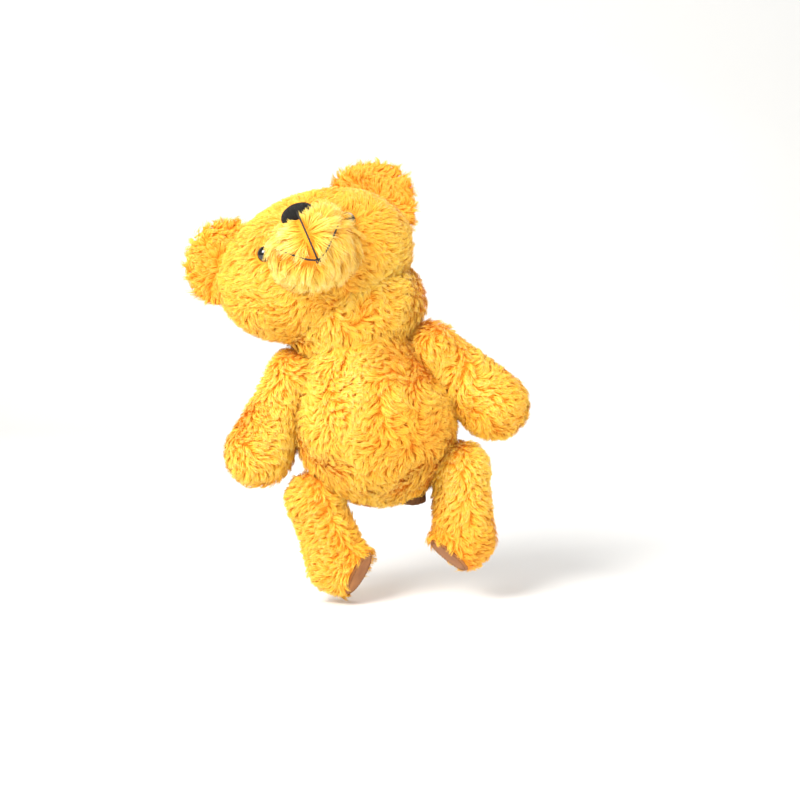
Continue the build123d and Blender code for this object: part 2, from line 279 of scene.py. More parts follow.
def torso_form():
    sack = hull("torso_hull", points_of("torso_front_panel", "torso_back_panel"))
    collar_turn = Matrix((across_body, Vector((0, 1, 0)), up_body)).transposed()
    collar_middle = joint_at["neck_tilt"] + across_body * collar_shift.x + up_body * collar_shift.z
    collar = egg("collar", collar_middle, collar_size, collar_turn)
    return joined("torso_skin", sack, collar)


torso_skin = one_skin(torso_form(), torso_voxel)
stuff(torso_skin, torso_swell)


def open_throat(piece):
    """Cuts the hole that the cuff is sewn into, and gives the cloth its thickness."""
    cut = bmesh.new()
    cut.from_mesh(piece.data)
    inside = []
    for face in cut.faces:
        middle = face.calc_center_median()
        if middle.xy.length < throat_hole and middle.z < throat_height:
            inside.append(face)
    bmesh.ops.delete(cut, geom=inside, context="FACES")
    cut.to_mesh(piece.data)
    cut.free()
    wall = piece.modifiers.new("wall", "SOLIDIFY")
    wall.thickness, wall.offset = cloth_wall, -1
    return apply_all(piece)


torso_closed = torso_skin.data.copy()
open_throat(smooth_shaded(torso_skin))
in_cloth(torso_skin, backing)
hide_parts("torso_front_panel", "torso_back_panel", "pocket_pad_front", "pocket_pad_back",
            "chest_stuffing", "neck_stuffing")
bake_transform(torso_skin)

# ---- torso pile ----------------------------------------------------------------------------------
# The plush's pile: soft acrylic fibres 12 mm long that the mill has curled, so they stand in
# twisted locks that lie every way. Their colour runs from deep orange at the foot, painted shade
# between the fibres, to pale gold at the tips, a painted highlight.
curl_steps = 5
fibre_taper = (0.8, 1.0, 1.0, 0.85, 0.55, 0.0)
lock_of = 13               # fibres that gather into one lock
fibre_width = 0.46 * mm
stray_share = 0.22         # fibres that stand out of their lock
pile_limit = 21500         # fibres in one piece


def wander(points, size, seed):
    """A smooth random value over space, about -1 to 1, that changes over the given size."""
    draw = np.random.default_rng(seed)
    total = np.zeros(len(points))
    for _ in range(7):
        wave = draw.normal(size=3) / size
        total += np.sin(points @ wave + draw.uniform(0, 2 * math.pi))
    return total / math.sqrt(3.5)


def unit(rows):
    return rows / np.maximum(np.linalg.norm(rows, axis=1, keepdims=True), 1e-12)


def scatter(mesh, count, draw):
    """Even random points on a mesh, with their normals."""
    mesh.calc_loop_triangles()
    corners = np.zeros(len(mesh.vertices) * 3)
    mesh.vertices.foreach_get("co", corners)
    corners = corners.reshape(-1, 3)
    lean = np.array([v.normal[:] for v in mesh.vertices])
    tris = np.zeros(len(mesh.loop_triangles) * 3, int)
    mesh.loop_triangles.foreach_get("vertices", tris)
    tris = tris.reshape(-1, 3)
    a, b, c = (corners[tris[:, i]] for i in range(3))
    area = np.linalg.norm(np.cross(b - a, c - a), axis=1)
    pick = draw.choice(len(tris), count, p=area / area.sum())
    r, s = np.sqrt(draw.random(count)), draw.random(count)
    weights = np.stack([1 - r, r * (1 - s), r * s], 1)[:, :, None]
    points = (corners[tris[pick]] * weights).sum(1)
    normals = unit((lean[tris[pick]] * weights).sum(1))
    return points, normals


def curl_paths(points, normals, comb, length, heading, turn, rise):
    """Walks each fibre from its root: it stands up, lays over and turns as it goes."""
    along = comb - normals * (comb * normals).sum(1, keepdims=True)
    along = unit(along + 1e-6)
    beside = np.cross(normals, along)
    path = [points]
    for step in range(curl_steps):
        part = (step + 0.5) / curl_steps
        angle = heading + turn * (part - 0.3)
        lift = rise * (1 - part) - 0.15 * part
        flat = along * np.cos(angle)[:, None] + beside * np.sin(angle)[:, None]
        stride = flat * np.cos(lift)[:, None] + normals * np.sin(lift)[:, None]
        path.append(path[-1] + stride * (length / curl_steps)[:, None])
    return np.stack(path, 1)


def pile(name, points, normals, comb, finish, length=12.0, width=1.0, swirl=1.2, curl=1.5, stand=1.05,
         gather=0.6, tint=0.5, seed=1, lock=lock_of, swirl_size=15.0, loose=0.55):
    """Grows the pile on given roots, as flat tapering fibres gathered into locks."""
    draw = np.random.default_rng(seed)
    count = len(points)
    guide_count = max(8, count // lock)
    chosen = draw.choice(count, guide_count, replace=False)
    tree = KDTree(guide_count)
    for i, index in enumerate(chosen):
        tree.insert(points[index], i)
    tree.balance()
    own = np.array([tree.find(p)[1] for p in points])
    g_points, g_normals, g_comb = points[chosen], normals[chosen], comb[chosen]
    g_heading = swirl * wander(g_points, swirl_size * mm, seed + 7) + draw.normal(0, 0.30, guide_count)
    g_turn = curl * np.sign(wander(g_points, 9 * mm, seed + 8)) * draw.uniform(0.4, 1.3, guide_count)
    own_length = np.broadcast_to(np.asarray(length, float), count)
    g_length = own_length[chosen] * mm * draw.uniform(0.75, 1.15, guide_count)
    own_stand = np.broadcast_to(np.asarray(stand, float), count)
    g_rise = own_stand[chosen] * draw.uniform(0.75, 1.2, guide_count)
    guides = curl_paths(g_points, g_normals, g_comb, g_length, g_heading, g_turn, g_rise)
    heading = g_heading[own] + draw.normal(0, 0.16, count)
    length_own = g_length[own] * draw.uniform(0.8, 1.1, count)
    turn_own = g_turn[own] + draw.normal(0, 0.2, count)
    rise_own = g_rise[own] * draw.uniform(0.85, 1.1, count)
    fibres = curl_paths(points, normals, comb, length_own, heading, turn_own, rise_own)
    levels = np.linspace(0, 1, curl_steps + 1)
    held = np.where(draw.random(count) < stray_share, 0.35, 1.0)[:, None, None]
    pull = (gather * levels ** 1.1)[None, :, None] * held
    spread = draw.normal(0, loose * mm, (count, 1, 3)) * levels[None, :, None]
    fibres = fibres * (1 - pull) + guides[own] * pull + spread
    tangent = np.gradient(fibres, axis=1)
    tangent /= np.maximum(np.linalg.norm(tangent, axis=2, keepdims=True), 1e-12)
    flat = np.cross(tangent, normals[:, None, :] + draw.normal(0, 0.35, (count, 1, 3)))
    flat /= np.maximum(np.linalg.norm(flat, axis=2, keepdims=True), 1e-12)
    taper = np.array(fibre_taper)[None, :, None]
    half = 0.5 * fibre_width * width * draw.uniform(0.7, 1.2, (count, 1, 1)) * taper
    left, right = fibres - flat * half, fibres + flat * half
    per = 2 * curl_steps + 1
    corners = np.zeros((count, per, 3))
    corners[:, 0:per - 1:2] = left[:, :-1]
    corners[:, 1:per - 1:2] = right[:, :-1]
    corners[:, -1] = fibres[:, -1]
    base = (np.arange(count) * per)[:, None, None]
    quads = np.array([[2 * i, 2 * i + 1, 2 * i + 3, 2 * i + 2] for i in range(curl_steps - 1)])
    quads = (quads[None] + base).reshape(count, -1)
    tip = np.array([[2 * curl_steps - 2, 2 * curl_steps - 1, 2 * curl_steps]])
    tip = (tip[None] + base).reshape(count, -1)
    loops = np.concatenate([quads, tip], 1).ravel()
    sizes = np.tile([4] * (curl_steps - 1) + [3], count)
    mesh = bpy.data.meshes.new(name)
    mesh.vertices.add(count * per)
    mesh.vertices.foreach_set("co", corners.ravel())
    mesh.loops.add(len(loops))
    mesh.loops.foreach_set("vertex_index", loops)
    mesh.polygons.add(len(sizes))
    mesh.polygons.foreach_set("loop_start", np.concatenate([[0], np.cumsum(sizes)[:-1]]))
    mesh.polygons.foreach_set("use_smooth", np.ones(len(sizes), bool))
    mesh.update(calc_edges=True)
    mesh.validate()
    shade = tint + 0.20 * wander(points, 22 * mm, seed + 9) + draw.normal(0, 0.15, guide_count)[own]
    shade = np.clip(shade + draw.normal(0, 0.06, count), 0.02, 0.97)
    across = np.tile([0.0, 0.012], curl_steps).tolist() + [0.006]
    u = shade[:, None] + np.array(across)[None]
    v = np.repeat(levels[:-1], 2).tolist() + [1.0]
    uv = np.stack([u, np.broadcast_to(np.array(v) * 0.98 + 0.01, u.shape)], 2).reshape(-1, 2)
    layer = mesh.uv_layers.new(name="OFBake")
    layer.data.foreach_set("uv", uv[loops].ravel())
    mesh.materials.append(finish)
    piece = bpy.data.objects.new(name, mesh)
    bpy.context.scene.collection.objects.link(piece)
    return piece


def fibre_colours(deep, rich):
    """Fibres in two dyes mixed by each lock's tint, each a row of colours from root to tip: darker at the
    root as painted shade between the fibres, paler at the tip as painted highlight.
    """
    def make(tree):
        place = node(tree, "ShaderNodeUVMap", {"uv_map": "OFBake"}, {})
        tint = node(tree, "ShaderNodeSeparateXYZ", {}, {0: place}, 0)
        along = node(tree, "ShaderNodeSeparateXYZ", {}, {0: place}, 1)
        # from root to tip: the darker stops are painted shade low in the pile, the paler ones painted
        # highlight at the tips
        stops = (0.0, 0.35, 0.75, 1.0)
        dark, light = (node(tree, "ShaderNodeValToRGB", {"stops": list(zip(stops, row))}, {"Fac": along})
                       for row in (deep, rich))
        mixed = node(tree, "ShaderNodeMix", {"data_type": "RGBA"}, {0: tint, 6: dark, 7: light}, 2)
        return {"Base Color": mixed}
    return make


# each row darkens towards the root as painted shade and pales towards the tip as painted highlight
gold_deep = [(1.0, 0.37, 0.008), (1.0, 0.46, 0.014), (1.0, 0.53, 0.024), (1.0, 0.62, 0.07)]
gold_rich = [(1.0, 0.46, 0.014), (1.0, 0.60, 0.034), (1.0, 0.70, 0.08), (1.0, 0.84, 0.32)]
gold_pile = finish_of("gold_pile", fibre_colours(gold_deep, gold_rich), Roughness=0.55, Sheen_Weight=0.1)


def outside(points, *meshes, clear=0.0, depth=1.0):
    """Which points lie more than clear outside some closed meshes, none of them thicker than depth."""
    keep = np.ones(len(points), bool)
    for mesh in meshes:
        tree = BVHTree.FromPolygons([v.co for v in mesh.vertices], [p.vertices for p in mesh.polygons])
        for i, point in enumerate(points):
            if keep[i]:
                near, normal, _, _ = tree.find_nearest(Vector(point))
                away = Vector(point) - near
                keep[i] = away.length > depth or math.copysign(away.length, away.dot(normal)) > clear
    return keep


fibres_per_mm2 = 0.95


def surface_area(mesh):
    return sum(p.area for p in mesh.polygons) / mm ** 2


def grow(name, body, slot, roots, leans, comb, finish, length=12.0, stand=1.05, **look):
    """Grows the pile on some roots in pieces of bearable size, which ride on a body, or stay where they are
    when given two.
    """
    length, stand = (np.broadcast_to(np.asarray(each, float), len(roots)) for each in (length, stand))
    order = np.argsort(roots[:, 2])
    for part in range(0, len(roots), pile_limit):
        chunk = order[part:part + pile_limit]
        curls = pile(f"{name}_{part // pile_limit + 1}", roots[chunk], leans[chunk], comb[chunk], finish,
                     length=length[chunk], stand=stand[chunk], **look)
        if isinstance(body, str):
            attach(curls, body)
        else:
            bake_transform(curls)


def roots_on(mesh, seed, density=1.0):
    return scatter(mesh, int(surface_area(mesh) * fibres_per_mm2 * density), np.random.default_rng(seed))


# ---- arms ----------------------------------------------------------------------------------------
# Two panels sewn into a long mitten, turned and filled. A round root sits in the shoulder seam,
# and the same curly pile hangs down towards the paw.
limb_voxel = 3.2 * mm
limb_swell = 1.5 * mm
seam_under = 5 * mm        # the pile goes on this far into a seam with another piece


def sewn(name, body, slot, *names, voxel=limb_voxel, swell=limb_swell, fill=0.8):
    """The stuffed skin of one piece, made over the shape that its panels and filling hold."""
    skin = one_skin(copy_of(name, *names), voxel)
    stuff(skin, swell)
    in_cloth(smooth_shaded(skin), backing)
    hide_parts(*names)
    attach(skin, body)
    return skin


arms, legs = {}, {}
for side in ("right", "left"):
    parts = [f"arm_{side}_{layer}" for layer in ("front_panel", "back_panel", "stuffing")]
    arms[side] = sewn(f"arm_{side}_skin", f"{side}_arm", "plush_gold", *parts)

for side, skin in arms.items():
    shoulder = joint_at[f"shoulder_{side}"]
    roots, leans = roots_on(skin.data, 21)
    keep = outside(roots, torso_closed, clear=-seam_under)
    roots, leans = roots[keep], leans[keep]
    hang = (middle_of(f"arm_{side}_stuffing") - shoulder).normalized()
    comb = np.tile(np.array(hang), (len(roots), 1))
    grow(f"arm_{side}_pile", f"{side}_arm", "plush_gold", roots, leans, comb, gold_pile,
         length=11.0, seed=23)

# ---- legs ----------------------------------------------------------------------------------------
# Short thighs that end in a round foot, cut and filled like the arms, of the same plush. The sole
# has no pile, because a patch is sewn on there.
sole_facing, sole_middle = {}, {}
sole_bare = 24 * mm        # the radius round the sole's middle that has no pile
sole_depth = 4 * mm        # and how far up the foot it reaches


def flat_way(points):
    """The direction in which some points spread the least."""
    spread = np.linalg.svd(points - points.mean(0), full_matrices=False)[2]
    return Vector(spread[2])


for side in ("right", "left"):
    parts = [f"leg_{side}_{layer}" for layer in ("front_panel", "back_panel", "stuffing")]
    legs[side] = sewn(f"leg_{side}_skin", f"{side}_leg", "plush_gold", *parts)
    patch = points_of(f"foot_pad_{side}")
    way = flat_way(patch)
    middle = Vector(patch.mean(0))
    if way.dot(middle - middle_of(f"leg_{side}_stuffing")) < 0:
        way = -way
    sole_facing[side], sole_middle[side] = way, middle

for side, skin in legs.items():
    hip = joint_at[f"hip_{side}"]
    roots, leans = roots_on(skin.data, 31)
    from_sole = roots - np.array(sole_middle[side])
    above = from_sole @ np.array(sole_facing[side])
    round_it = np.linalg.norm(from_sole - above[:, None] * np.array(sole_facing[side]), axis=1)
    keep = outside(roots, torso_closed, clear=-seam_under)
    keep &= ~((above > -sole_depth) & (round_it < sole_bare))
    roots, leans = roots[keep], leans[keep]
    hang = (sole_middle[side] - hip).normalized()
    comb = np.tile(np.array(hang), (len(roots), 1))
    grow(f"leg_{side}_pile", f"{side}_leg", "plush_gold", roots, leans, comb, gold_pile,
         length=10.5, seed=33)

# The torso's own pile comes last of these, since none is sewn in under the limbs' seams.
cuff_bare = 13 * mm        # the radius round the shaft that has no pile
roots, leans = roots_on(torso_closed, 3)
keep = (np.hypot(roots[:, 0], roots[:, 1]) > cuff_bare) | (roots[:, 2] > throat_height)
keep &= outside(roots, *(skin.data for skin in (*arms.values(), *legs.values())), clear=-4 * mm)
roots, leans = roots[keep], leans[keep]
down = np.tile(-np.array(up_body), (len(roots), 1))
round_cuff = np.exp(-(np.linalg.norm(roots, axis=1) / (30 * mm)) ** 2)
grow("torso_pile", ("torso", "neck"), "plush_gold", roots, leans, down, gold_pile, seed=11,
     length=12 + 4 * round_cuff, stand=1.05 + 0.45 * round_cuff)

# ---- soles ---------------------------------------------------------------------------------------
# Round patches of brown suede, crowned by the filling and sewn on with a row of stitches in
# thread of the same brown, a little inside the cut edge.
sole_radius = 23.4 * mm
sole_crown = 1.2 * mm
sole_wall = 1.1 * mm
sole_profile = [(0.0, 1.0), (0.3, 0.93), (0.55, 0.78), (0.75, 0.56), (0.86, 0.36), (0.93, 0.10),
                (0.975, -0.2), (1.0, -0.9), (0.99, -1.7)]      # shares of the radius and the crown
stitch_count = 40
stitch_share = 0.62        # of the way to the next stitch
stitch_ring = 0.885        # of the radius


def suede(tree):
    place = node(tree, "ShaderNodeTexCoord", {}, {}, "Object")
    nap = node(tree, "ShaderNodeTexNoise", {}, {"Vector": place, "Scale": 60.0, "Detail": 4.0}, "Fac")
    grain = node(tree, "ShaderNodeTexNoise", {}, {"Vector": place, "Scale": 900.0, "Detail": 3.0}, "Fac")
    stops = [(0.3, (0.28, 0.095, 0.020)), (0.7, (0.46, 0.18, 0.042))]
    colour = node(tree, "ShaderNodeValToRGB", {"stops": stops}, {"Fac": nap * 0.75 + grain * 0.25})
    pits = node(tree, "ShaderNodeBump", {}, {"Height": grain, "Strength": 0.6, "Distance": 0.3 * mm})
    return {"Base Color": colour, "Normal": pits}


suede_brown = finish_of("suede_brown", suede, Roughness=0.92, Sheen_Weight=0.08)


def thread_of(name, paths, radius, finish):
    """Round thread along rows of points."""
    curve = bpy.data.curves.new(name, "CURVE")
    curve.dimensions, curve.bevel_depth, curve.bevel_resolution = "3D", radius, 2
    curve.use_fill_caps = True
    for path in paths:
        line = curve.splines.new("POLY")
        line.points.add(len(path) - 1)
        line.points.foreach_set("co", np.column_stack([np.array(path), np.ones(len(path))]).ravel())
    piece = bpy.data.objects.new(name, curve)
    bpy.context.scene.collection.objects.link(piece)
    curve.materials.append(finish)
    return piece


def turned_out(piece, weld=0.0):
    """Welds points that lie together, and turns every face of a mesh outwards."""
    shape = bmesh.new()
    shape.from_mesh(piece.data)
    if weld:
        bmesh.ops.remove_doubles(shape, verts=shape.verts, dist=weld)
    bmesh.ops.recalc_face_normals(shape, faces=shape.faces)
    shape.to_mesh(piece.data)
    shape.free()
    return piece


for side in ("right", "left"):
    facing, middle = sole_facing[side], sole_middle[side] + sole_facing[side] * 0.6 * mm
    beside = facing.orthogonal().normalized()
    third = facing.cross(beside)
    points, faces = [], []
    around = 64
    for reach, height in sole_profile:
        for i in range(around):
            angle = 2 * math.pi * i / around
            spot = beside * math.cos(angle) + third * math.sin(angle)
            points.append(middle + spot * reach * sole_radius + facing * height * sole_crown)
    for ring in range(len(sole_profile) - 1):
        for i in range(around):
            j = (i + 1) % around
            inner, outer = ring * around, (ring + 1) * around
            faces.append((inner + i, inner + j, outer + j, outer + i))
    sole = turned_out(smooth_shaded(new_mesh(f"sole_{side}", points, faces)), weld=0.01 * mm)
    wall = sole.modifiers.new("wall", "SOLIDIFY")
    wall.thickness, wall.offset = sole_wall, -1
    apply_all(sole).data.materials.append(suede_brown)
    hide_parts(f"foot_pad_{side}")
    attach(sole, f"{side}_leg")
    stitches = []
    for i in range(stitch_count):
        start = 2 * math.pi * i / stitch_count
        row = []
        for k in range(5):
            angle = start + k / 4 * 2 * math.pi / stitch_count * stitch_share
            spot = beside * math.cos(angle) + third * math.sin(angle)
            lift = 0.18 * math.sin(math.pi * k / 4) + 0.12
            row.append(middle + spot * stitch_ring * sole_radius + facing * (0.27 * sole_crown + lift * mm))
        stitches.append(row)
    seam = thread_of(f"sole_stitches_{side}", stitches, 0.32 * mm,
                     finish_of("sole_thread", Base_Color=(0.24, 0.10, 0.03, 1), Roughness=0.7))
    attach(seam, f"{side}_leg")

# ---- pocket lining -------------------------------------------------------------------------------
# A slippery tan lining cloth, sewn as a round bag inside the belly's padding, open at the cuff.
# The padding holds it stretched, so that the driver's head slides in.
lining_mouth = 15 * mm     # the radius of its opening, which the cuff is sewn into
lining_cloth = 0.4 * mm
lining_low, lining_high = (Vector(corner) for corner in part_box("pocket_lining"))
lining_drop = (lining_high.y - lining_low.y) / 2
lining_radius = lining_drop - 0.7 * mm
lining_middle = Vector(((lining_low.x + lining_high.x) / 2, 0, lining_high.z - lining_drop))
lining = egg("lining", lining_middle, Vector((1, 1, 1)) * lining_radius)
cut = bmesh.new()
cut.from_mesh(lining.data)
gone = []
for face in cut.faces:
    middle = face.calc_center_median()
    if middle.xy.length < lining_mouth and middle.z < lining_middle.z:
        gone.append(face)
bmesh.ops.delete(cut, geom=gone, context="FACES")
cut.to_mesh(lining.data)
cut.free()


def lining_weave(tree):
    place = node(tree, "ShaderNodeTexCoord", {}, {}, "Object")
    threads = node(tree, "ShaderNodeTexWave", {"wave_type": "BANDS"}, {"Vector": place, "Scale": 700.0}, 1)
    stops = [(0.0, (0.36, 0.22, 0.10)), (1.0, (0.50, 0.33, 0.17))]
    return {"Base Color": node(tree, "ShaderNodeValToRGB", {"stops": stops}, {"Fac": threads})}


lining_tan = finish_of("lining_tan", lining_weave, Roughness=0.35, Sheen_Weight=0.3)
in_cloth(smooth_shaded(lining), lining_tan)
cloth = lining.modifiers.new("cloth", "SOLIDIFY")
cloth.thickness, cloth.offset = lining_cloth, -1
apply_all(lining)
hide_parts("pocket_lining")
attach(lining, "torso")

# ---- cuff ----------------------------------------------------------------------------------------
# A tube of brown rib knit, gathered on an elastic so that it grips the shaft. Its edge shows as
# a puckered ring at the bottom of the belly.
cuff_low, cuff_high = (Vector(corner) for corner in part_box("shaft_cuff"))
cuff_folds = 13
cuff_around = 208
cuff_profile = [(14.6, 1.0), (14.8, 0.80), (14.6, 0.55), (14.4, 0.30), (14.7, 0.14), (14.4, 0.05),
                (12.6, 0.0), (10.4, 0.0), (8.2, 0.04), (7.5, 0.14), (7.4, 0.35), (7.8, 0.7),
                (9.0, 1.0)]            # mm out from the shaft's middle, share of the height


def rib_knit(tree):
    place = node(tree, "ShaderNodeTexCoord", {}, {}, "Object")
    ribs = node(tree, "ShaderNodeTexNoise", {}, {"Vector": place, "Scale": 700.0, "Detail": 2.0}, "Fac")
    stops = [(0.3, (0.075, 0.028, 0.008)), (0.7, (0.20, 0.085, 0.024))]
    colour = node(tree, "ShaderNodeValToRGB", {"stops": stops}, {"Fac": ribs})
    loops = node(tree, "ShaderNodeBump", {}, {"Height": ribs, "Strength": 0.7, "Distance": 0.4 * mm})
    return {"Base Color": colour, "Normal": loops}


points, faces = [], []
for reach, height in cuff_profile:
    for i in range(cuff_around):
        angle = 2 * math.pi * i / cuff_around
        fold = 0.5 * math.cos(cuff_folds * angle) + 0.13 * math.cos(8 * cuff_folds * angle)
        out = (reach + fold * (1.3 if reach < 13 else 0.8)) * mm
        z = cuff_low.z + height * (cuff_high.z - cuff_low.z) + 0.5 * mm * math.cos(3 * angle + 1)
        points.append((out * math.cos(angle), out * math.sin(angle), z))
rows = len(cuff_profile)
for row in range(rows):
    base, under = row * cuff_around, (row + 1) % rows * cuff_around
    for i in range(cuff_around):
        j = (i + 1) % cuff_around
        faces.append((base + i, under + i, under + j, base + j))
cuff = turned_out(smooth_shaded(new_mesh("cuff", points, faces)))
cuff.data.materials.append(finish_of("rib_knit", rib_knit, Roughness=0.9))
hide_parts("shaft_cuff")
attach(cuff, "torso")

# ---- head ----------------------------------------------------------------------------------------
# Two panels of the same plush sewn into a wide egg and stuffed hard. The pile is brushed back
# from the face: short and smooth over the brow, longer and curlier at the sides and behind.
head_middle = middle_of("head_face_panel", "head_back_panel")
head_across = (middle_of("eye_left") - middle_of("eye_right")).normalized()
eyes_middle = (middle_of("eye_left") + middle_of("eye_right")) / 2
eyes_way = eyes_middle - head_middle
eyes_way = (eyes_way - head_across * eyes_way.dot(head_across)).normalized()
eye_drop = math.radians(9)     # the eyes sit this far below the middle of the face
head_forward = eyes_way * math.cos(eye_drop) + eyes_way.cross(head_across) * math.sin(eye_drop)
head_up = head_forward.cross(head_across)
head_voxel = 4.2 * mm


def in_head(across, forward, up):
    """A place in the head, measured in mm from its middle."""
    return head_middle + (head_across * across + head_forward * forward + head_up * up) * mm


head_skin = one_skin(hull("head_skin", points_of("head_face_panel", "head_back_panel")), head_voxel)
stuff(head_skin, 2 * mm)
in_cloth(smooth_shaded(head_skin), backing)
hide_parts("head_face_panel", "head_back_panel", "head_stuffing")
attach(head_skin, "head")

# ---- ears ----------------------------------------------------------------------------------------
# Each ear is a cupped front panel of shorter pile and a rounded back panel in the body's plush,
# sewn round the rim and on to the head's side. The front pile is coloured a deeper orange as
# painted shade in the ear's cup.
ear_skins = {}
for side in ("right", "left"):
    ear_skins[side] = []
    for layer, slot in (("front", "ear_gold"), ("back", "plush_gold")):
        name = f"ear_{side}_{layer}"
        panel = sewn(f"{name}_skin", "head", slot, name, voxel=2.4 * mm, swell=0.5 * mm, fill=0.4)
        ear_skins[side].append(panel)

# the front pile's deeper orange is painted shade in the ear's cup
ear_deep = [(1.0, 0.32, 0.006), (1.0, 0.40, 0.010), (1.0, 0.46, 0.018), (1.0, 0.56, 0.05)]
ear_rich = [(1.0, 0.40, 0.010), (1.0, 0.52, 0.024), (1.0, 0.62, 0.05), (1.0, 0.78, 0.22)]
ear_pile = finish_of("ear_pile", fibre_colours(ear_deep, ear_rich), Roughness=0.6)
ear_depth = 6 * mm         # no ear is thicker than this between its panel's faces
for side, (front, back) in ear_skins.items():
    facing = flat_way(points_of(f"ear_{side}_front"))
    if facing.dot(head_forward) < 0:
        facing = -facing
    facing = np.array(facing)
    ear_middle = np.array(middle_of(f"ear_{side}_front", f"ear_{side}_back"))
    roots, leans = roots_on(front.data, 41, 1.1)
    keep = (leans @ facing > 0.25) & outside(roots, head_skin.data)
    roots, leans = roots[keep], leans[keep]
    comb = unit(roots - ear_middle) + np.array(head_up) * 0.3
    grow(f"ear_{side}_front_pile", "head", "ear_gold", roots, leans, comb, ear_pile, length=9.0, seed=43,
         curl=1.2, stand=1.0, swirl=1.0)
    roots, leans = roots_on(back.data, 45, 1.2)
    keep = (leans @ facing < 0.6) & outside(roots, head_skin.data)
    keep &= outside(roots, front.data, clear=0.2 * mm, depth=ear_depth)
    roots, leans = roots[keep], leans[keep]
    comb = unit(roots - ear_middle) + facing * 0.15
    grow(f"ear_{side}_back_pile", "head", "plush_gold", roots, leans, comb, gold_pile, length=12.0, seed=47)

# ---- muzzle --------------------------------------------------------------------------------------
# A rounded snout of longer, straighter plush, its tips coloured cream as painted highlight. The pile
# is parted along the mouth, and from there it fans out to the cheeks, down over the chin and up
# over the nose's lower edge.
muzzle_size = Vector((37, 34, 34))
muzzle_middle = in_head(0, 58, -24)
muzzle_turn = Matrix((head_across, -head_forward, head_up)).transposed()
muzzle_skin = one_skin(egg("muzzle_skin", muzzle_middle, muzzle_size * mm, muzzle_turn), 3 * mm, 3)
in_cloth(smooth_shaded(muzzle_skin), backing)
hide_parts("muzzle_panel", "muzzle_stuffing")
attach(muzzle_skin, "head")


def on_muzzle(across, rise, lift=0.0):
    """A place on the muzzle: mm out from its middle, degrees up its front, mm above the cloth."""
    ring = muzzle_size.z * math.sqrt(1 - (across / muzzle_size.x) ** 2)
    turn = math.radians(rise)
    spot = Vector((across, ring * math.cos(turn), ring * math.sin(turn)))
    out = Vector([place / size ** 2 for place, size in zip(spot, muzzle_size)]).normalized()
    spot += out * lift
    return muzzle_middle + (head_across * spot.x + head_forward * spot.y + head_up * spot.z) * mm


# each row ends in cream at the tips as painted highlight and darkens towards the root as painted shade
cream_deep = [(1.0, 0.38, 0.010), (1.0, 0.50, 0.020), (1.0, 0.60, 0.05), (1.0, 0.76, 0.22)]
cream_rich = [(1.0, 0.48, 0.018), (1.0, 0.63, 0.048), (1.0, 0.76, 0.15), (1.0, 0.90, 0.48)]
cream_pile = finish_of("cream_pile_painted_highlight", fibre_colours(cream_deep, cream_rich), Roughness=0.5,
                       Sheen_Weight=0.1)

fork = -54.0               # degrees up the muzzle's front at which the mouth forks
parting = 8.0 * mm         # how far the pile is parted to each side of the thread
mouth_lines = [[on_muzzle(0, rise, 7.0) for rise in np.linspace(27, fork, 12)]]
for across, lift in ((-25, 5.5), (25, 8.0)):
    cheek = []
    for t in np.linspace(0, 1, 12):
        cheek.append(on_muzzle(across * t, fork + 3 * math.sin(math.pi * t) + 36 * t ** 2, lift))
    mouth_lines.append(cheek)
mouth_middle = np.array(on_muzzle(0, -12))


def from_mouth(points):
    """How far each point is from the mouth's thread, and the way there."""
    tree = KDTree(sum(len(line) for line in mouth_lines))
    spots = [spot for line in mouth_lines for spot in line]
    for i, spot in enumerate(spots):
        tree.insert(spot, i)
    tree.balance()
    near = np.array([tree.find(p)[0][:] for p in points])
    away = points - near
    return np.linalg.norm(away, axis=1), away


roots, leans = roots_on(muzzle_skin.data, 51, 1.3)
keep = outside(roots, head_skin.data, clear=1 * mm) & outside(roots, nodes["nose"].data, clear=0.6 * mm)
gap, away = from_mouth(roots)
keep &= gap > parting
roots, leans, gap, away = roots[keep], leans[keep], gap[keep], away[keep]
near_it = np.exp(-(gap / (9 * mm)) ** 2)[:, None]
comb = unit(roots - mouth_middle) * (1 - near_it) + unit(away) * near_it
nose_gap = np.linalg.norm(roots - np.array(on_muzzle(0, 44)), axis=1)
reach = np.clip((nose_gap - 12 * mm) / (18 * mm), 0, 1) * 11 + 8
left_side = (roots - np.array(muzzle_middle)) @ np.array(head_across)
reach += np.clip(left_side / (20 * mm), 0, 1) * 5
grow("muzzle_pile", "head", "plush_gold", roots, leans, comb, cream_pile, length=reach, seed=53,
     swirl=0.45, curl=0.6, stand=0.85, gather=0.65, tint=0.62, swirl_size=18.0)

# The face and the head behind it.
eye_bare = 9.2 * mm        # the radius round each eye that has no pile
roots, leans = roots_on(head_skin.data, 61)
keep = outside(roots, muzzle_skin.data, clear=-1 * mm)
for side in ("right", "left"):
    keep &= outside(roots, ear_skins[side][0].data, ear_skins[side][1].data, clear=-1 * mm, depth=8 * mm)
    eye = np.array(middle_of(f"eye_{side}"))
    keep &= np.linalg.norm(roots - eye, axis=1) > eye_bare
keep &= outside(roots, torso_closed, clear=-14 * mm)
roots, leans = roots[keep], leans[keep]
from_muzzle = roots - np.array(muzzle_middle)
comb = unit(from_muzzle) - np.array(head_up) * 0.25
ahead = (roots - np.array(head_middle)) @ np.array(head_forward)
above = (roots - np.array(head_middle)) @ np.array(head_up)
sleek = np.clip(ahead / (55 * mm), 0, 1) * 0.5 + np.clip(above / (60 * mm), 0, 1) * 0.5
lengths = 12.0 - 4.0 * sleek
smooth_part = sleek > 0.35
brushed, curly = dict(swirl=0.45, curl=0.6, stand=0.7, gather=0.6), dict(swirl=1.0, curl=1.3)
for name, part, look in (("head_front_pile", smooth_part, brushed),
                         ("head_back_pile", ~smooth_part, curly)):
    grow(name, "head", "plush_gold", roots[part], leans[part], comb[part], gold_pile, length=lengths[part],
         seed=63, tint=0.55, **look)

